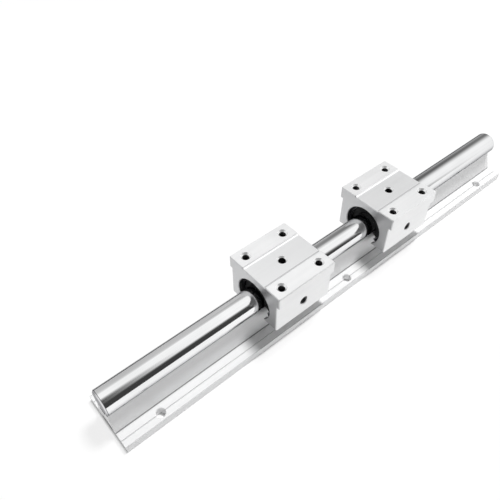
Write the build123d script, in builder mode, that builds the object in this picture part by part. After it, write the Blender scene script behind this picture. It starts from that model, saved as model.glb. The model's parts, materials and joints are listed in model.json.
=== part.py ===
from build123d import *
from math import cos, radians, sin, sqrt
import os

os.makedirs("parts", exist_ok=True)

# The rail runs along X, Z is up, and the origin is under the middle of the rail on its underside.
# All sizes are in millimetres.

# rail
rail_length = 350
shaft_diameter = 16
axis_height = 25
shaft_end_chamfer = 0.8

# support: base flange, tapered web and the cradle under the shaft
base_width = 40
flange_thickness = 5
flange_corner_radius = 0.6
base_edge_radius = 0.6
foot_width = 18.5
cradle_width = 10
cradle_height = 17.8
seat_clearance = 0.03
relief_width = 4.6
relief_depth = 1.2
groove_width = 0.8
groove_depth = 0.4

# holes that fasten the base, and the screws that hold the shaft
hole_pitch = 150
first_hole = 25
hole_gauge = 30
base_hole_diameter = 5.5
base_hole_chamfer = 0.5
screw_channel_width = 10.5
screw_channel_height = 6
screw_diameter = 5
screw_length = 20
screw_head_diameter = 8.5
screw_head_height = 5
screw_hole_diameter = 5.5
socket_width = 4
socket_depth = 2.5
thread_clearance = 0.05
thread_runout = 1.5

# carriage block
carriage_centres = {"a": -47, "b": 51}
block_width = 45
block_length = 45
block_height = 31
axis_to_top = 20
shoulder_height = 9
side_step = 2
channel_width = 19.2
channel_depth = 0.7
channel_slope = 0.7
block_edge_chamfer = 0.6
opening_angle = 80

# tapped holes of the block, and the angle of every countersink
sink_angle = 90
top_hole_spacing_x = 30
top_hole_spacing_y = 32
top_hole_diameter = 4.2
top_hole_depth = 12
top_hole_mouth = 6.6
centre_hole_diameter = 4.6
centre_hole_mouth = 6.4
side_hole_diameter = 4.2
side_hole_mouth = 6.6

# open bearing in the block
bearing_diameter = 28
bearing_length = 37
bearing_fit = 0.02
liner_opening_angle = 104
sleeve_wall = 1.6
sleeve_chamfer = 0.5
seal_thickness = 1.8
seal_recess = 0.3
seal_lip_clearance = 0.2
seal_lip_thickness = 0.7
seal_lip_height = 1.4
retainer_clearance = 0.35
retainer_fit = 0.05
ball_rows = 5
ball_row_span = 52
track_width = 3.2
track_depth = 0.9
track_margin = 3.5
ring_thickness = 1.2
ring_width = 2.2
ring_groove_depth = 0.9
ring_clearance = 0.05
ring_opening_angle = 100
mouth_chamfer = 0.6
mouth_taper = 45

# grub screw in the side hole
grub_length = 4
grub_socket_width = 2
grub_socket_depth = 2.2
grub_gap = 0.1

# worked out from the sizes above
shaft_radius = shaft_diameter / 2
bore_radius = bearing_diameter / 2
sleeve_radius = bore_radius - bearing_fit
sleeve_inner_radius = sleeve_radius - sleeve_wall
block_top = axis_height + axis_to_top
block_bottom = block_top - block_height
side_face = block_width / 2 - side_step
rail_end = rail_length / 2

hole_stations = []
station = first_hole - rail_end
while station <= rail_end - screw_head_diameter:
    hole_stations.append(station)
    station += hole_pitch


def across(x, z=0):
    """The plane across the rail at x, with its own X along Y and its own Y up from z."""
    return Plane(origin=(x, 0, z), x_dir=(0, 1, 0), z_dir=(1, 0, 0))


def wedge(reach, angle):
    """Corners of the wedge under the shaft, which open rings and the block leave free."""
    half = radians(angle / 2)
    drop = -reach * cos(half)
    return [(0, 0), (reach * sin(half), drop), (-reach * sin(half), drop)]


def ring_section(outer_radius, inner_radius, angle=opening_angle):
    """The section of a ring round the shaft that is open below."""
    with BuildSketch() as section:
        Circle(outer_radius)
        Circle(inner_radius, mode=Mode.SUBTRACT)
        Polygon(*wedge(2 * outer_radius, angle), align=None, mode=Mode.SUBTRACT)
    return section.sketch


# the extruded support
with BuildPart() as support_rail:
    seat_radius = shaft_radius + seat_clearance
    seat_drop = axis_height - cradle_height
    seat_edge = sqrt(seat_radius**2 - seat_drop**2)
    relief_edge = relief_width / 2
    relief_top = axis_height - sqrt(seat_radius**2 - relief_edge**2)
    relief_floor = axis_height - shaft_radius - relief_depth
    with BuildSketch(across(-rail_end)) as profile:
        with BuildLine():
            Polyline(
                (0, screw_channel_height),
                (screw_channel_width / 2, screw_channel_height),
                (screw_channel_width / 2, 0),
                (base_width / 2, 0),
                (base_width / 2, flange_thickness),
                (hole_gauge / 2 + groove_width / 2, flange_thickness),
                (hole_gauge / 2, flange_thickness - groove_depth),
                (hole_gauge / 2 - groove_width / 2, flange_thickness),
                (foot_width / 2, flange_thickness),
                (cradle_width / 2, cradle_height),
                (seat_edge, cradle_height),
            )
            RadiusArc((seat_edge, cradle_height), (relief_edge, relief_top), seat_radius)
            Polyline((relief_edge, relief_top), (relief_edge, relief_floor), (0, relief_floor))
            mirror(about=Plane.YZ)
        make_face()
        sides = profile.vertices().group_by(Axis.X)
        edge_points = sides[0] + sides[-1]
        fillet(edge_points.group_by(Axis.Y)[-1], flange_corner_radius)
        fillet(edge_points.group_by(Axis.Y)[0], base_edge_radius)
    extrude(amount=rail_length)
    for x in hole_stations:
        with Locations((x, hole_gauge / 2, flange_thickness), (x, -hole_gauge / 2, flange_thickness)):
            CounterSinkHole(
                base_hole_diameter / 2,
                base_hole_diameter / 2 + base_hole_chamfer,
                counter_sink_angle=sink_angle,
            )
        with BuildSketch(Plane.XY.offset(screw_channel_height)):
            with Locations((x, 0)):
                Circle(screw_hole_diameter / 2)
        extrude(amount=cradle_height - screw_channel_height, mode=Mode.SUBTRACT)
support_rail.part.label = "support_rail"
export_step(support_rail.part, "parts/support_rail.step")

# the shaft, with a tapped hole above each screw
with BuildPart() as round_shaft:
    with BuildSketch(across(-rail_end, axis_height)):
        Circle(shaft_radius)
    extrude(amount=rail_length)
    chamfer(round_shaft.edges().filter_by(GeomType.CIRCLE), shaft_end_chamfer)
    tapped_top = screw_channel_height + screw_length + thread_runout
    with BuildSketch(Plane.XY):
        for x in hole_stations:
            with Locations((x, 0)):
                Circle(screw_diameter / 2 + thread_clearance)
    extrude(amount=tapped_top, mode=Mode.SUBTRACT)
round_shaft.part.label = "round_shaft"
export_step(round_shaft.part, "parts/round_shaft.step")

# the socket head screws, from below through the web into the shaft
for number, x in enumerate(hole_stations, start=1):
    with BuildPart() as shaft_screw:
        head_base = Plane.XY.offset(screw_channel_height - screw_head_height)
        with BuildSketch(head_base):
            with Locations((x, 0)):
                Circle(screw_head_diameter / 2)
        extrude(amount=screw_head_height)
        with BuildSketch(Plane.XY.offset(screw_channel_height)):
            with Locations((x, 0)):
                Circle(screw_diameter / 2)
        extrude(amount=screw_length)
        with BuildSketch(head_base):
            with Locations((x, 0)):
                RegularPolygon(socket_width / 2, side_count=6, major_radius=False)
        extrude(amount=socket_depth, mode=Mode.SUBTRACT)
    shaft_screw.part.label = f"shaft_screw_{number}"
    export_step(shaft_screw.part, f"parts/shaft_screw_{number}.step")

# the carriages: one block with its bearing, twice
for letter, centre in carriage_centres.items():
    name = f"carriage_{letter}"
    block_front = centre - block_length / 2
    bearing_front = centre - bearing_length / 2

    # the extruded block, open below
    with BuildPart() as block:
        with BuildSketch(across(block_front)):
            with BuildLine():
                Polyline(
                    (0, block_bottom),
                    (side_face, block_bottom),
                    (side_face, block_top - shoulder_height),
                    (block_width / 2, block_top - shoulder_height),
                    (block_width / 2, block_top),
                    (channel_width / 2 + channel_slope, block_top),
                    (channel_width / 2, block_top - channel_depth),
                    (0, block_top - channel_depth),
                )
                mirror(about=Plane.YZ)
            make_face()
        extrude(amount=block_length)
        end_edges = block.faces().filter_by(Axis.X).edges()
        long_edges = block.edges().filter_by(Axis.X).group_by(Axis.Y)
        chamfer(end_edges + long_edges[0] + long_edges[-1], block_edge_chamfer)

        # the bore and its opening, the mouths, and the grooves of the retaining rings
        with BuildSketch(across(block_front, axis_height)):
            Circle(bore_radius)
            Polygon(*wedge(2 * block_height, opening_angle), align=None)
        extrude(amount=block_length, mode=Mode.SUBTRACT)
        for mouth in (block_front, block_front + block_length):
            inward = 1 if mouth < centre else -1
            with BuildSketch(across(mouth, axis_height)):
                Circle(bore_radius + mouth_chamfer)
            extrude(amount=inward * mouth_chamfer, taper=mouth_taper, mode=Mode.SUBTRACT)
        groove_length = ring_thickness + 2 * ring_clearance
        for groove_front in (bearing_front - groove_length, bearing_front + bearing_length):
            with BuildSketch(across(groove_front, axis_height)):
                Circle(bore_radius + ring_groove_depth)
            extrude(amount=groove_length, mode=Mode.SUBTRACT)

        # the tapped holes, the centre hole and the side hole into the bore
        with Locations((centre, 0, block_top)):
            with GridLocations(top_hole_spacing_x, top_hole_spacing_y, 2, 2):
                CounterSinkHole(
                    top_hole_diameter / 2,
                    top_hole_mouth / 2,
                    depth=top_hole_depth,
                    counter_sink_angle=sink_angle,
                )
        with Locations((centre, 0, block_top - channel_depth)):
            CounterSinkHole(
                centre_hole_diameter / 2,
                centre_hole_mouth / 2,
                depth=axis_to_top - channel_depth - bore_radius + mouth_chamfer,
                counter_sink_angle=sink_angle,
            )
        with Locations(Plane(origin=(centre, -side_face, axis_height), z_dir=(0, -1, 0))):
            CounterSinkHole(
                side_hole_diameter / 2,
                side_hole_mouth / 2,
                depth=side_face - bore_radius + mouth_chamfer,
                counter_sink_angle=sink_angle,
            )
    block.part.label = f"{name}_block"
    export_step(block.part, f"parts/{name}_block.step")

    # the bearing's steel sleeve
    with BuildPart() as sleeve:
        with BuildSketch(across(bearing_front, axis_height)):
            add(ring_section(sleeve_radius, sleeve_inner_radius))
        extrude(amount=bearing_length)
        rims = sleeve.edges().filter_by(GeomType.CIRCLE).sort_by(SortBy.RADIUS)[-2:]
        chamfer(rims, sleeve_chamfer)
    sleeve.part.label = f"{name}_sleeve"
    export_step(sleeve.part, f"parts/{name}_sleeve.step")

    # the ball retainer, with a track for each row of balls
    with BuildPart() as retainer:
        end_room = seal_recess + seal_thickness
        retainer_radius = sleeve_inner_radius - retainer_fit
        retainer_inner_radius = shaft_radius + retainer_clearance
        retainer_front = bearing_front + end_room
        retainer_length = bearing_length - 2 * end_room
        with BuildSketch(across(retainer_front, axis_height)):
            add(ring_section(retainer_radius, retainer_inner_radius, liner_opening_angle))
        extrude(amount=retainer_length)
        row_radius = retainer_inner_radius + track_depth - track_width / 2
        row_arc = (ball_rows - 1) * ball_row_span
        with BuildSketch(across(retainer_front + track_margin, axis_height)):
            with PolarLocations(row_radius, ball_rows, 90 - row_arc / 2, row_arc, endpoint=True):
                Circle(track_width / 2)
        extrude(amount=retainer_length - 2 * track_margin, mode=Mode.SUBTRACT)
    retainer.part.label = f"{name}_retainer"
    export_step(retainer.part, f"parts/{name}_retainer.step")

    # a seal inside each end of the sleeve, and a retaining ring outside it
    for end, outward in (("front", -1), ("back", 1)):
        sleeve_end = centre + outward * bearing_length / 2
        seal_face = sleeve_end - outward * seal_recess
        seal_radius = sleeve_inner_radius - retainer_fit
        lip_radius = shaft_radius + seal_lip_clearance
        lip_root = lip_radius + seal_lip_height
        with BuildPart() as seal:
            with BuildSketch(across(seal_face, axis_height)):
                add(ring_section(seal_radius, lip_root, liner_opening_angle))
            extrude(amount=-outward * seal_thickness)
            with BuildSketch(across(seal_face, axis_height)):
                add(ring_section(lip_root, lip_radius, liner_opening_angle))
            extrude(amount=-outward * seal_lip_thickness)
        seal.part.label = f"{name}_{end}_seal"
        export_step(seal.part, f"parts/{name}_{end}_seal.step")

        with BuildPart() as retaining_ring:
            ring_radius = bore_radius + ring_groove_depth - ring_clearance
            with BuildSketch(across(sleeve_end + outward * ring_clearance, axis_height)):
                add(ring_section(ring_radius, ring_radius - ring_width, ring_opening_angle))
            extrude(amount=outward * ring_thickness)
        retaining_ring.part.label = f"{name}_{end}_ring"
        export_step(retaining_ring.part, f"parts/{name}_{end}_ring.step")

    # the grub screw that holds the bearing, in the side hole
    with BuildPart() as grub_screw:
        grub_tip = Plane(origin=(centre, -bore_radius - grub_gap, axis_height), z_dir=(0, -1, 0))
        grub_head = grub_tip.offset(grub_length)
        with BuildSketch(grub_tip):
            Circle(side_hole_diameter / 2 - thread_clearance)
        extrude(amount=grub_length)
        with BuildSketch(grub_head):
            RegularPolygon(grub_socket_width / 2, side_count=6, major_radius=False)
        extrude(amount=-grub_socket_depth, mode=Mode.SUBTRACT)
    grub_screw.part.label = f"{name}_grub_screw"
    export_step(grub_screw.part, f"parts/{name}_grub_screw.step")
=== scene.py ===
import json
from math import radians, tan, tau

import bmesh
import bpy
from mathutils import Matrix, Vector


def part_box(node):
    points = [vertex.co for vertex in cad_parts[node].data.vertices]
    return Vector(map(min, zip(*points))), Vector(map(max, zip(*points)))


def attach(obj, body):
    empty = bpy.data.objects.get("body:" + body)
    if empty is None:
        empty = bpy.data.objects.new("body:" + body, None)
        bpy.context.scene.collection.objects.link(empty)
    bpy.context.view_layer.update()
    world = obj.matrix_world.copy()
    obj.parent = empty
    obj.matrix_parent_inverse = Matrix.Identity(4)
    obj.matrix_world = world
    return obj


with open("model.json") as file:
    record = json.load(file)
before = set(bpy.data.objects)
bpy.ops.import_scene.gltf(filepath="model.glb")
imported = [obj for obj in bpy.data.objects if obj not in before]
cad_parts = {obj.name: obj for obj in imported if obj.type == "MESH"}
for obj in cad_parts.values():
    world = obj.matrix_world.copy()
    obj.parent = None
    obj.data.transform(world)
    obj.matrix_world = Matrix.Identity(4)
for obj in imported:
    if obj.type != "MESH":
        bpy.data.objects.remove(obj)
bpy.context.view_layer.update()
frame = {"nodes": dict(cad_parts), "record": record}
print("frame loaded:", len(frame["nodes"]), "nodes")


# Shader trees: a wire holds a node's output, and arithmetic on wires and numbers adds Math nodes

class Wire:
    def __init__(self, shader, socket):
        self.shader = shader
        self.socket = socket

    def math(self, operation, *values):
        return self.shader.add("ShaderNodeMath", {"operation": operation}, dict(enumerate(values)))

    def __add__(self, other):
        return self.math("ADD", self, other)

    def __radd__(self, other):
        return self.math("ADD", other, self)

    def __sub__(self, other):
        return self.math("SUBTRACT", self, other)

    def __rsub__(self, other):
        return self.math("SUBTRACT", other, self)

    def __mul__(self, other):
        return self.math("MULTIPLY", self, other)

    def __rmul__(self, other):
        return self.math("MULTIPLY", other, self)

    def __abs__(self):
        return self.math("ABSOLUTE", self)

    def largest(self, other):
        return self.math("MAXIMUM", self, other)

    def between(self, low, high):
        # 0 below the low value, 1 above the high one, and smooth in between; the values may fall
        ends = {"From Min": low, "From Max": high}
        if low > high:
            ends = {"From Min": high, "From Max": low, "To Min": 1.0, "To Max": 0.0}
        return self.shader.add("ShaderNodeMapRange", {"interpolation_type": "SMOOTHSTEP"},
                               {"Value": self, **ends})

    def band(self, rise, fall):
        # 1 on a strip, with a smooth edge on either side of it
        return self.between(*rise) * self.between(*fall)

    def choose(self, first, second):
        # the first value where this mask is 0 and the second where it is 1
        return first * (1.0 - self) + second * self


class Shader:
    def __init__(self, owner):
        owner.use_nodes = True
        self.tree = owner.node_tree
        self.tree.nodes.clear()

    def add(self, kind, settings=None, sockets=None, output=0):
        # one node of any type: its settings first, then the values or links of its sockets
        node = self.tree.nodes.new(kind)
        for name, value in (settings or {}).items():
            setattr(node, name, value)
        for name, value in (sockets or {}).items():
            if isinstance(value, Wire):
                self.tree.links.new(value.socket, node.inputs[name])
            else:
                node.inputs[name].default_value = value
        return Wire(self, node.outputs[output]) if node.outputs else None

    def place(self, scale=(1.0, 1.0, 1.0), shift=(0.0, 0.0, 0.0)):
        # object coordinates in metres, stretched by the scale
        point = self.add("ShaderNodeTexCoord", output="Object")
        return self.add("ShaderNodeMapping", None,
                        {"Vector": point, "Location": shift, "Scale": scale})

    def coordinates(self, axes, shift=(0.0, 0.0, 0.0)):
        # each of the named axes as a wire of its own
        point = self.place(shift=shift)
        return [self.add("ShaderNodeSeparateXYZ", None, {0: point}, output=axis) for axis in axes]

    def noise(self, scale, stretch=(1.0, 1.0, 1.0), detail=3.0, roughness=0.5, shift=(0.0, 0.0, 0.0)):
        return self.add("ShaderNodeTexNoise", None,
                        {"Vector": self.place(stretch, shift), "Scale": scale,
                         "Detail": detail, "Roughness": roughness})

    def noises(self, s, *names):
        return [self.noise(**s[name]) for name in names]

    def tones(self, mask, low, high):
        # a colour between two, by a mask from 0 to 1; each is a wire or three numbers
        ends = [colour if isinstance(colour, Wire) else (*colour, 1.0) for colour in (low, high)]
        return self.add("ShaderNodeMix", {"data_type": "RGBA"},
                        {"Factor": mask, "A": ends[0], "B": ends[1]}, output="Result")

    def length(self, vector):
        return self.add("ShaderNodeVectorMath", {"operation": "LENGTH"}, {0: vector}, output="Value")

    def distance(self, first, second):
        # from an axis, by two coordinates across it
        return self.length(self.add("ShaderNodeCombineXYZ", None, {0: first, 1: second}))

    def relief(self, height, strength, depth):
        return self.add("ShaderNodeBump", None, {"Strength": strength, "Distance": depth, "Height": height})

    def glow(self, tone):
        return self.add("ShaderNodeEmission", None, {"Color": (tone, tone, tone, 1.0), "Strength": 1.0})

    def mixed(self, mask, first, second):
        return self.add("ShaderNodeMixShader", None, {0: mask, 1: first, 2: second})

    def finish(self, surface):
        self.add("ShaderNodeOutputMaterial", None, {"Surface": surface})

    def surface(self, **sockets):
        names = {"colour": "Base Color", "metal": "Metallic", "rough": "Roughness", "normal": "Normal",
                 "gloss": "Specular IOR Level", "tint": "Specular Tint"}
        self.finish(self.add("ShaderNodeBsdfPrincipled", None,
                             {names[name]: value for name, value in sockets.items()}))


def newMaterial(name):
    material = bpy.data.materials.new(name)
    return material, Shader(material)


def weigh(noises, weights):
    # several noises added up, each by its own weight
    return sum(noise * weight for noise, weight in zip(noises, weights))


def shade(colour, amount):
    return [amount * c for c in colour]


def addPiece(name, bm, material):
    mesh = bpy.data.meshes.new(name)
    bm.to_mesh(mesh)
    bm.free()
    mesh.materials.append(material)
    piece = bpy.data.objects.new(name, mesh)
    bpy.context.scene.collection.objects.link(piece)
    return piece


# Camera at the place from which the object was seen

cameraSettings = {
    "place": (-0.19855, -0.15434, 0.28173),
    "azimuth": -39.421,
    "elevation": 46.670,
    "roll": -1.019,
    "focalPixels": 536.25,
    "imagePixels": 500,
    "sensor": 36.0,
    "nearest": 0.01,
    "farthest": 20.0,
}


def makeCamera(s):
    data = bpy.data.cameras.new("camera")
    data.sensor_width = s["sensor"]
    data.lens = s["focalPixels"] / s["imagePixels"] * s["sensor"]
    data.clip_start = s["nearest"]
    data.clip_end = s["farthest"]
    camera = bpy.data.objects.new("camera", data)
    turn = (Matrix.Rotation(radians(s["azimuth"]), 4, "Z")
            @ Matrix.Rotation(radians(90 - s["elevation"]), 4, "X")
            @ Matrix.Rotation(radians(s["roll"]), 4, "Z"))
    camera.matrix_world = Matrix.Translation(s["place"]) @ turn
    bpy.context.scene.collection.objects.link(camera)
    bpy.context.scene.camera = camera


makeCamera(cameraSettings)
print("camera placed")


# Studio: a white floor and room, a soft lamp overhead, and dark and grey flags for the metal to mirror

floorSettings = {
    "size": 12.0,
    "drop": 0.0002,
    "tone": (0.93, 0.93, 0.93),
    "shade": 0.99,
    "grain": 40.0,
    "grainEnds": (0.3, 0.7),
    "glow": 0.80,
    "inset": 0.0005,  # the floor glows up to this far under the edges of the base
    "fade": 0.002,
}
roomSettings = {"light": 0.25, "white": (1.0, 1.0, 1.0, 1.0)}
lampSettings = {"size": 0.50, "place": (0.70, 0.00, 1.97), "power": 46.0}


def seenRays(shader):
    # 1 for what the camera sees straight, in metal or through glass
    rays = [shader.add("ShaderNodeLightPath", output=name)
            for name in ("Is Camera Ray", "Is Glossy Ray", "Is Transmission Ray")]
    return rays[0].largest(rays[1]).largest(rays[2])


def floorPaint(s):
    material, shader = newMaterial("floorPaint")
    grain = shader.noise(s["grain"]).between(*s["grainEnds"])
    tone = shader.tones(grain, shade(s["tone"], s["shade"]), s["tone"])
    paint = shader.add("ShaderNodeBsdfDiffuse", None, {"Color": tone})
    halfLength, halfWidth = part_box("support_rail")[1][:2]
    along, across = shader.coordinates("XY")
    outside = (abs(along) - (halfLength - s["inset"])).largest(abs(across) - (halfWidth - s["inset"]))
    clear = outside.between(0.0, s["fade"])
    shader.finish(shader.mixed(seenRays(shader) * clear * s["glow"], paint, shader.glow(1.0)))
    return material


def makeFloor(s):
    bm = bmesh.new()
    bmesh.ops.create_grid(bm, x_segments=1, y_segments=1, size=s["size"] / 2)
    bmesh.ops.translate(bm, verts=bm.verts, vec=(0.0, 0.0, -s["drop"]))
    addPiece("floor", bm, floorPaint(s))


def makeRoom(s):
    world = bpy.data.worlds.new("room")
    shader = Shader(world)
    strength = seenRays(shader).choose(s["light"], 1.0)
    light = shader.add("ShaderNodeBackground", None, {"Color": s["white"], "Strength": strength})
    shader.add("ShaderNodeOutputWorld", None, {"Surface": light})
    bpy.context.scene.world = world


def makeLamp(s):
    data = bpy.data.lights.new("softLamp", "AREA")
    data.shape = "DISK"
    data.size = s["size"]
    data.energy = s["power"]
    lamp = bpy.data.objects.new("softLamp", data)
    place = Vector(s["place"])
    lamp.matrix_world = Matrix.Translation(place) @ place.to_track_quat("Z", "Y").to_matrix().to_4x4()
    lamp.visible_glossy = False
    bpy.context.scene.collection.objects.link(lamp)


makeFloor(floorSettings)
makeRoom(roomSettings)
makeLamp(lampSettings)
print("studio lit")


# Flags: dark and grey discs for the metal to mirror, each cut off at the floor

flagSettings = {
    "frontFlag": {"towards": (0.0, -1.0, 0.0), "distance": 1.6, "spread": 54.0,
                  "soft": 0.47, "tone": 0.05},
    "cameraFlag": {"towards": (-0.47, -0.48, 0.738), "distance": 1.5, "spread": 40.0,
                   "soft": 0.45, "tone": 0.05},
    "sideFlag": {"towards": (0.72, 0.50, 0.48), "distance": 1.7, "spread": 38.0,
                 "soft": 1.00, "tone": 0.13},
    "backFlag": {"towards": (0.30, 0.85, 0.35), "distance": 1.9, "spread": 44.0,
                 "soft": 0.60, "tone": 0.58},
}
flagCorners = 48

# a grey card lies on the floor behind the rail, for the grey bands along the top of the shaft
cardSettings = {"length": 1.2, "from": 0.075, "to": 0.400, "lift": 0.0003, "tone": 0.14}


def flagPaint(name, tone, soft):
    # an even tone that fades out towards the rim of a disc
    material, shader = newMaterial(name)
    reach = shader.length(shader.add("ShaderNodeUVMap"))
    clear = shader.add("ShaderNodeBsdfTransparent")
    shader.finish(shader.mixed(reach.between(1.0, 1.0 - soft), clear, shader.glow(tone)))
    return material


def hangFlag(name, bm, material):
    # no camera sees it and it throws no shadow
    flag = addPiece(name, bm, material)
    flag.visible_camera = False
    flag.visible_diffuse = False
    flag.visible_shadow = False


def makeFlag(name, s):
    towards = Vector(s["towards"]).normalized()
    radius = s["distance"] * tan(radians(s["spread"]))
    bm = bmesh.new()
    bmesh.ops.create_circle(bm, cap_ends=True, segments=flagCorners, radius=radius)
    layer = bm.loops.layers.uv.new("rim")
    for face in bm.faces:
        for loop in face.loops:
            loop[layer].uv = loop.vert.co.xy / radius
    turn = towards.to_track_quat("-Z", "Y").to_matrix().to_4x4()
    bmesh.ops.transform(bm, matrix=Matrix.Translation(towards * s["distance"]) @ turn, verts=bm.verts)
    everything = bm.verts[:] + bm.edges[:] + bm.faces[:]
    bmesh.ops.bisect_plane(bm, geom=everything, plane_co=(0.0, 0.0, 0.0), plane_no=(0.0, 0.0, 1.0),
                           clear_inner=True)
    hangFlag(name, bm, flagPaint(name, s["tone"], s["soft"]))


def makeCard(s):
    material, shader = newMaterial("cardPaint")
    shader.finish(shader.glow(s["tone"]))
    bm = bmesh.new()
    bmesh.ops.create_grid(bm, x_segments=1, y_segments=1, size=0.5)  # a square of one metre
    bmesh.ops.scale(bm, vec=(s["length"], s["to"] - s["from"], 1.0), verts=bm.verts)
    bmesh.ops.translate(bm, vec=(0.0, (s["from"] + s["to"]) / 2, s["lift"]), verts=bm.verts)
    hangFlag("backCard", bm, material)


for flagName, settings in flagSettings.items():
    makeFlag(flagName, settings)
makeCard(cardSettings)
print("flags hung")


# Finishes. A mask is 0 at the first value of its pair and 1 at the second, and high and low are
# the upper and the lower edge of a mask. Places are in metres, and a noise runs from 0 to 1.

# high and low of the web, the groove and the foot count from the flange's top, and beside from the
# web's foot; the other places count from the middle and the underside of the rail
railSettings = {
    "dark": (0.83, 0.833, 0.838),
    "light": (0.89, 0.89, 0.892),
    "metal": (0.18, 0.24),  # flange, web
    "roughness": (0.46, 0.58),
    # painted light: the web's tone is this much lighter than the flange's
    "webPaintedLight": 1.03,
    # painted shade: the groove and corner lines, the web's foot and the slot are darkened by these amounts
    "lineShade": 0.78,
    "footShade": 0.40,
    "slotShade": 0.08,
    "flangeTop": 0.005,
    "webFoot": 0.0092,
    "web": {"low": (0.0001, 0.0004), "beside": (0.0004, 0.0)},
    "groove": {"place": 0.015, "half": (0.00048, 0.0004), "high": (-0.00003, -0.0001)},
    "corner": {"inner": (0.0192, 0.0194), "outer": (0.0200, 0.0198), "low": (0.0035, 0.0042)},
    "foot": {"beside": (0.0005, 0.0003), "high": (0.0006, 0.0003), "low": (-0.0006, -0.0002)},
    "slot": {"half": (0.0025, 0.0024), "high": (0.0173, 0.0172), "low": (0.0150, 0.0154)},
    "lines": {"scale": 900.0, "stretch": (0.012, 1.0, 1.0), "detail": 4.0, "roughness": 0.6},
    "clouds": {"scale": 22.0, "stretch": (0.35, 1.0, 1.0)},
    "grain": {"scale": 2600.0, "detail": 2.0},
    "scrape": {"scale": 160.0, "stretch": (0.15, 1.0, 1.0), "detail": 6.0, "roughness": 0.7,
               "shift": (3.0, 0.0, 0.0)},
    "marks": (0.64, 0.74),
    "markTone": 0.25,
    "markPolish": 0.08,
    "toneWeights": (0.45, 0.40, 0.15),
    "toneEnds": (0.30, 0.66),
    "roughEnds": (0.3, 0.7),
    "bumpWeights": (0.7, 0.3),
    "bump": (0.16, 0.00002),
}


def railMasks(shader, s):
    # the web, which takes painted light, and the places that take painted shade: the thin lines of the
    # groove and of the corner along each flange, the web's foot and the slot under the shaft
    across, height = shader.coordinates("YZ")
    side = abs(across)
    above = height - s["flangeTop"]
    beside = side - s["webFoot"]
    web = above.between(*s["web"]["low"]) * beside.between(*s["web"]["beside"])
    groove = abs(side - s["groove"]["place"]).between(*s["groove"]["half"]) \
        * above.between(*s["groove"]["high"])
    corner = side.band(s["corner"]["inner"], s["corner"]["outer"]) * height.between(*s["corner"]["low"])
    foot = abs(beside).between(*s["foot"]["beside"]) * above.band(s["foot"]["high"], s["foot"]["low"])
    slot = side.between(*s["slot"]["half"]) * height.band(s["slot"]["high"], s["slot"]["low"])
    return web, groove.largest(corner), foot, slot


def railAluminium(s):
    # extruded along X and anodised matt: fine drawn lines, a cloudy tone and a few handling marks; the web
    # is painted a little lighter as painted light, and the groove, the flange's outer corner, the web's foot
    # and the slot under the shaft are painted darker as painted shade
    material, shader = newMaterial("railAluminium")
    web, line, foot, slot = railMasks(shader, s)
    lines, clouds, grain, scrape = shader.noises(s, "lines", "clouds", "grain", "scrape")
    marks = scrape.between(*s["marks"])
    tone = weigh((lines, clouds, grain), s["toneWeights"]).between(*s["toneEnds"]) - marks * s["markTone"]
    # painted light: a lighter copy of the tone for the web
    litWebColour = shader.tones(tone, shade(s["dark"], s["webPaintedLight"]), shade(s["light"], s["webPaintedLight"]))
    colour = shader.tones(web, shader.tones(tone, s["dark"], s["light"]), litWebColour)
    # painted shade: the groove and corner lines, the web's foot and the slot under the shaft are darkened
    for mask, amount in ((line, s["lineShade"]), (foot, s["footShade"]), (slot, s["slotShade"])):
        colour = shader.tones(mask, colour, shade(s["dark"], amount))
    rough = lines.between(*s["roughEnds"]).choose(*s["roughness"]) - marks * s["markPolish"]
    shader.surface(colour=colour, metal=web.choose(*s["metal"]), rough=rough,
                   normal=shader.relief(weigh((lines, grain), s["bumpWeights"]), *s["bump"]))
    return material


shaftSettings = {
    "dark": (0.84, 0.845, 0.85),
    "light": (0.94, 0.942, 0.945),
    "roughness": (0.07, 0.11),
    "edgeTint": (0.30, 0.30, 0.31),  # darkens what the shaft mirrors at its outline
    "faceTone": (0.78, 0.78, 0.79),
    "faceRough": 0.34,
    # painted reflection: a thin dark ring where each end chamfer meets the body
    "rimPaintedReflection": (0.22, 0.22, 0.23),
    "chamfer": 0.0008,
    "face": (-0.00005, 0.00005),
    "rim": (0.0002, 0.0001),
    "lay": {"scale": 9000.0, "stretch": (1.0, 0.02, 0.02), "detail": 2.0},
    "rub": {"scale": 700.0, "stretch": (0.01, 1.0, 1.0), "detail": 4.0},
    "clouds": {"scale": 30.0, "detail": 2.0},
    "toneWeights": (0.6, 0.4),
    "toneEnds": (0.30, 0.70),
    "roughWeights": (0.5, 0.5),
    "roughEnds": (0.35, 0.70),
    "bump": (1.0, 0.000002),
}


def shaftChrome(s):
    # ground and hard-chromed: a mirror with a faint grinding lay, light rubbing by the seals and turned
    # ends, with a thin dark ring painted at the edge of each end chamfer as a painted reflection
    material, shader = newMaterial("shaftChrome")
    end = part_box("round_shaft")[1][0]
    past = abs(shader.coordinates("X")[0]) - (end - s["chamfer"])
    face = past.between(*s["face"])
    rim = abs(past).between(*s["rim"])
    lay, rub, clouds = shader.noises(s, "lay", "rub", "clouds")
    tone = weigh((clouds, rub), s["toneWeights"]).between(*s["toneEnds"])
    colour = shader.tones(face, shader.tones(tone, s["dark"], s["light"]), s["faceTone"])
    polish = weigh((lay, rub), s["roughWeights"]).between(*s["roughEnds"]).choose(*s["roughness"])
    # painted reflection: the thin dark ring at the edge of each end chamfer
    shader.surface(colour=shader.tones(rim, colour, s["rimPaintedReflection"]), metal=1.0,
                   rough=face.choose(polish, s["faceRough"]), tint=(*s["edgeTint"], 1.0),
                   normal=shader.relief(lay, *s["bump"]))
    return material


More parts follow.
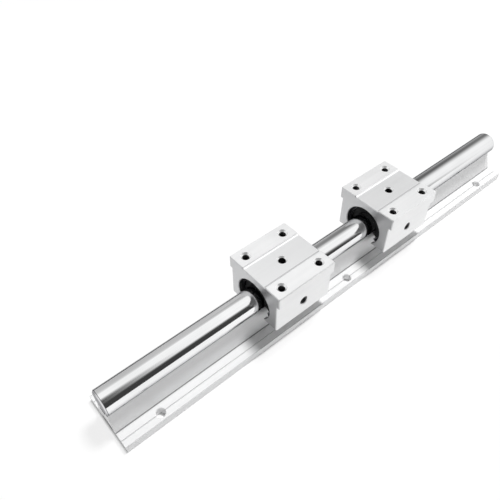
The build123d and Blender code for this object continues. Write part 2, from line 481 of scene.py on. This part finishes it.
# places on a block count from its middle along X, from the shaft's axis along Y and from its top
# along Z
blockSettings = {
    "dark": (0.87, 0.873, 0.878),
    "light": (0.94, 0.942, 0.945),
    # the sawn ends are painted darker, partly for their sawn finish and partly as painted shade
    "endSawnAndShadedTone": (0.52, 0.523, 0.53),
    # painted shade: the holes and the bearing seat in the bore are painted near-black
    "boreShade": (0.055, 0.055, 0.057),
    # painted shade: the channel wall that looks to +Y is this much darker
    "wallShade": 0.66,
    "channelShare": 0.6,
    "endSawnAndShadedShare": 0.8,
    "metal": (0.42, 0.62),  # top, sides
    "channelMetal": 0.12,
    "endMetal": 0.95,
    "sinkMetal": 0.60,
    "roughness": (0.28, 0.38),
    "endRoughness": (0.38, 0.46),
    "sinkRoughness": 0.26,
    "axisDrop": 0.020,
    "end": (-0.0006, -0.0003),
    # the seat and the holes are painted near-black as painted shade
    "seat": (0.01428, 0.01412),  # radii at the wall of the bore that holds the bearing
    "side": {"half": (0.0202, 0.0204), "high": (-0.0005, -0.0007)},
    "channel": {"half": (0.0089, 0.0087), "high": (-0.0005, -0.0006), "low": (-0.0010, -0.0009)},
    "walls": {"inner": (0.0087, 0.0088), "outer": (0.0098, 0.0097),
              "high": (-0.00004, -0.00010), "low": (-0.0008, -0.0007),
              "front": (0.0, 0.001), "back": (0.0, -0.001)},
    "holes": {"spacing": (0.030, 0.032), "corner": (0.00222, 0.00212), "middle": (0.00242, 0.00232),
              "low": (-0.01254, -0.0125), "side": (0.0030, 0.0028), "sideFoot": (-0.0135, -0.0138)},
    "sinks": {"radius": (0.0037, 0.0035), "high": (-0.00004, -0.00008), "channelDepth": 0.0007},
    "passes": {"scale": 420.0, "stretch": (0.03, 1.0, 1.0), "roughness": 0.55},
    "clouds": {"scale": 45.0},
    "grain": {"scale": 1800.0, "roughness": 0.65},
    "scuffs": {"scale": 210.0, "stretch": (0.4, 1.0, 1.0), "detail": 6.0, "roughness": 0.7,
               "shift": (5.0, 2.0, 0.0)},
    "scuffEnds": (0.66, 0.76),
    "scuffTone": 0.3,
    "toneWeights": (0.30, 0.45, 0.25),
    "toneEnds": (0.30, 0.66),
    "roughWeights": (0.5, 0.5),
    "roughEnds": (0.30, 0.70),
    "bumpWeights": (0.6, 0.4),
    "bump": (0.10, 0.00002),
}


def holeMasks(shader, along, across, height, s):
    # the walls of the five holes in the top and of the one in the side, and the turned cones at
    # the mouths of the five
    holes, sinks = s["holes"], s["sinks"]
    spacingX, spacingY = holes["spacing"]
    toCorner = shader.distance(abs(along) - spacingX / 2, abs(across) - spacingY / 2)
    toMiddle = shader.distance(along, across)
    toSide = shader.distance(along, height + s["axisDrop"])
    bores = toCorner.between(*holes["corner"]).largest(toMiddle.between(*holes["middle"])) \
        * height.between(*holes["low"])
    sideBore = toSide.between(*holes["side"]) * across.between(*holes["sideFoot"])
    cornerSink = toCorner.between(*sinks["radius"]) * height.between(*sinks["high"])
    middleHeight = height + sinks["channelDepth"]
    middleSink = toMiddle.between(*sinks["radius"]) * middleHeight.between(*sinks["high"])
    return bores.largest(sideBore), cornerSink.largest(middleSink)


def faceMasks(across, height, s):
    # the sides, the floor of the channel in the top, its wall that looks to -Y (painted highlight) and the
    # one to +Y (painted shade)
    half, walls = abs(across), s["walls"]
    side = half.between(*s["side"]["half"]) * height.between(*s["side"]["high"])
    channel = half.between(*s["channel"]["half"]) * height.band(s["channel"]["high"], s["channel"]["low"])
    both = half.band(walls["inner"], walls["outer"]) * height.band(walls["high"], walls["low"])
    return side, channel, both * across.between(*walls["front"]), both * across.between(*walls["back"])


def blockAluminium(name, block, s):
    # milled and satin anodised: a fine even grain, faint cutter passes along X, sawn ends painted darker for
    # their sawn finish and as painted shade, tapped holes and the bearing seat painted near-black as painted
    # shade, and a painted highlight and painted shade on the two walls of the channel
    material, shader = newMaterial(name)
    low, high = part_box(block)
    middle, half = (low[0] + high[0]) / 2, (high[0] - low[0]) / 2
    along, across, height = shader.coordinates("XYZ", shift=(-middle, 0.0, -high[2]))
    ends = (abs(along) - half).between(*s["end"])
    bores, sinks = holeMasks(shader, along, across, height, s)
    side, channel, highlightWall, shadedWall = faceMasks(across, height, s)
    seat = shader.distance(across, height + s["axisDrop"]).between(*s["seat"])
    passes, clouds, grain, scuffs = shader.noises(s, "passes", "clouds", "grain", "scuffs")
    tone = weigh((passes, clouds, grain), s["toneWeights"]).between(*s["toneEnds"]) \
        - scuffs.between(*s["scuffEnds"]) * s["scuffTone"]
    colour = shader.tones(tone, s["dark"], s["light"])
    colour = shader.tones(channel * s["channelShare"], colour, s["dark"])
    # the sawn ends are painted darker, partly for their sawn finish and partly as painted shade
    colour = shader.tones(ends * s["endSawnAndShadedShare"], colour, s["endSawnAndShadedTone"])
    # painted highlight: the channel wall that looks to -Y gets the light tone and, below, no metal
    colour = shader.tones(highlightWall, colour, s["light"])
    # painted shade: the channel wall that looks to +Y is darkened
    colour = shader.tones(shadedWall, colour, shade(s["dark"], s["wallShade"]))
    # painted shade: the walls of the holes and the bearing seat in the bore are painted near-black
    colour = shader.tones(bores.largest(seat), colour, s["boreShade"])
    metal = ends.choose(side.choose(*s["metal"]) + channel * s["channelMetal"], s["endMetal"])
    rough = weigh((grain, passes), s["roughWeights"]).between(*s["roughEnds"])
    rough = ends.choose(rough.choose(*s["roughness"]), rough.choose(*s["endRoughness"]))
    shader.surface(colour=colour, metal=sinks.choose(metal, s["sinkMetal"]) * (1.0 - highlightWall),
                   rough=sinks.choose(rough, s["sinkRoughness"]),
                   normal=shader.relief(weigh((grain, passes), s["bumpWeights"]), *s["bump"]))
    return material


# The small parts have a plain finish each: a grain, a cloudy tone and a roughness that follows the
# grain. What is even is the same all over.

blackSteelSettings = {
    "dark": (0.010, 0.010, 0.012),
    "light": (0.035, 0.035, 0.04),
    "roughness": (0.30, 0.48),
    "grain": {"scale": 1500.0},
    "clouds": {"scale": 260.0, "detail": 2.0},
    "toneWeights": (0.4, 0.6),
    "toneEnds": (0.35, 0.70),
    "bump": (0.10, 0.00001),
    "even": {"metal": 0.85},
}

# ground on its outside: the lay runs round the bore
bearingSteelSettings = {
    "dark": (0.12, 0.12, 0.125),
    "light": (0.20, 0.20, 0.205),
    "roughness": (0.18, 0.32),
    "grain": {"scale": 1100.0, "stretch": (1.0, 0.05, 0.05)},
    "clouds": {"scale": 90.0, "detail": 2.0},
    "toneWeights": (0.5, 0.5),
    "toneEnds": (0.35, 0.68),
    "bump": (0.08, 0.00001),
    "even": {"metal": 1.0},
}

retainerSettings = {
    "dark": (0.014, 0.014, 0.015),
    "light": (0.030, 0.030, 0.032),
    "roughness": (0.42, 0.58),
    "grain": {"scale": 1600.0, "detail": 4.0, "roughness": 0.6},
    "clouds": {"scale": 120.0, "detail": 2.0},
    "toneWeights": (0.5, 0.5),
    "toneEnds": (0.35, 0.68),
    "bump": (0.15, 0.00002),
    "even": {"gloss": 0.35},
}

sealSettings = {
    "dark": (0.008, 0.008, 0.009),
    "light": (0.022, 0.022, 0.023),
    "roughness": (0.55, 0.75),
    "grain": {"scale": 2200.0, "detail": 4.0, "roughness": 0.6},
    "clouds": {"scale": 120.0, "detail": 2.0},
    "toneWeights": (0.5, 0.5),
    "toneEnds": (0.35, 0.68),
    "bump": (0.25, 0.00002),
    "even": {"gloss": 0.20},
}

plainRoughEnds = (0.3, 0.7)


def plainFinish(name, s):
    material, shader = newMaterial(name)
    grain, clouds = shader.noises(s, "grain", "clouds")
    tone = weigh((grain, clouds), s["toneWeights"]).between(*s["toneEnds"])
    shader.surface(colour=shader.tones(tone, s["dark"], s["light"]),
                   rough=grain.between(*plainRoughEnds).choose(*s["roughness"]),
                   normal=shader.relief(grain, *s["bump"]), **s["even"])
    return material


carriages = ("carriage_a", "carriage_b")

finishes = {
    "rail_aluminium": railAluminium(railSettings),
    "shaft_steel": shaftChrome(shaftSettings),
    "black_steel": plainFinish("blackSteel", blackSteelSettings),
    "bearing_steel": plainFinish("bearingSteel", bearingSteelSettings),
    "retainer_plastic": plainFinish("retainerPlastic", retainerSettings),
    "seal_rubber": plainFinish("sealRubber", sealSettings),
}
blockFinishes = {f"{name}_block": blockAluminium(f"{name}Aluminium", f"{name}_block", blockSettings)
                 for name in carriages}


def dressNodes():
    for part in frame["record"]["subparts"]:
        node = frame["nodes"][part["node"]]
        finish = blockFinishes.get(part["node"]) or finishes[part["material_slot"]]
        node.data.materials.clear()
        node.data.materials.append(finish)


dressNodes()


# Threads: a helical ridge in each tapped hole of the blocks

threadSettings = {
    "pitch": 0.0008,
    "crest": 0.00018,
    "root": 0.00003,
    "width": 0.00055,
    "steps": 24,
    "radius": 0.0021,
    "start": 0.0013,
    "topDepth": 0.0118,
    "sideDepth": 0.0023,
    "sideStep": 0.002,  # a block's upper part stands out this far past the face with the side hole
}


def threadRidge(bm, length, s):
    # a small triangle turned down a helix from the origin, along -Z
    steps = round(length / s["pitch"] * s["steps"])
    outside, inside, half = s["radius"] + s["root"], s["radius"] - s["crest"], s["width"] / 2
    corners = [bm.verts.new((reach, 0.0, height))
               for reach, height in ((outside, -half), (inside, 0.0), (outside, half))]
    section = bm.faces.new(corners)
    bmesh.ops.spin(bm, geom=[section, *section.edges, *corners], cent=(0.0, 0.0, 0.0), axis=(0.0, 0.0, 1.0),
                   dvec=(0.0, 0.0, -s["pitch"] / s["steps"]), angle=tau * steps / s["steps"], steps=steps)


def threadPlaces(block, s):
    # where each ridge starts and which way it runs, with the depth of its hole
    low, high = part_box(block)
    middle = (low[0] + high[0]) / 2
    spacingX, spacingY = blockSettings["holes"]["spacing"]
    top = high[2] - s["start"]
    places = [(Matrix.Translation((middle + signX * spacingX / 2, signY * spacingY / 2, top)), s["topDepth"])
              for signX in (-1, 1) for signY in (-1, 1)]
    sideMouth = (middle, low[1] + s["sideStep"] + s["start"], high[2] - blockSettings["axisDrop"])
    places.append((Matrix.Translation(sideMouth) @ Matrix.Rotation(radians(90), 4, "X"), s["sideDepth"]))
    return places


def makeThreads(name, s):
    bm = bmesh.new()
    for place, depth in threadPlaces(f"{name}_block", s):
        ridge = bmesh.new()
        threadRidge(ridge, depth - s["start"] - s["width"], s)
        inset = Matrix.Translation((0.0, 0.0, -s["width"] / 2))
        bmesh.ops.transform(ridge, matrix=place @ inset, verts=ridge.verts)
        mesh = bpy.data.meshes.new("ridge")
        ridge.to_mesh(mesh)
        ridge.free()
        bm.from_mesh(mesh)
        bpy.data.meshes.remove(mesh)
    bmesh.ops.recalc_face_normals(bm, faces=bm.faces)
    loose = [edge for edge in bm.edges if not edge.is_manifold]
    print(name, "threads:", len(bm.faces), "faces,", len(loose), "open edges")
    threads = addPiece(f"{name}_threads", bm, blockFinishes[f"{name}_block"])
    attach(threads, name)


for carriage in carriages:
    makeThreads(carriage, threadSettings)
print("threads cut")

bpy.context.scene.view_settings.view_transform = "Standard"
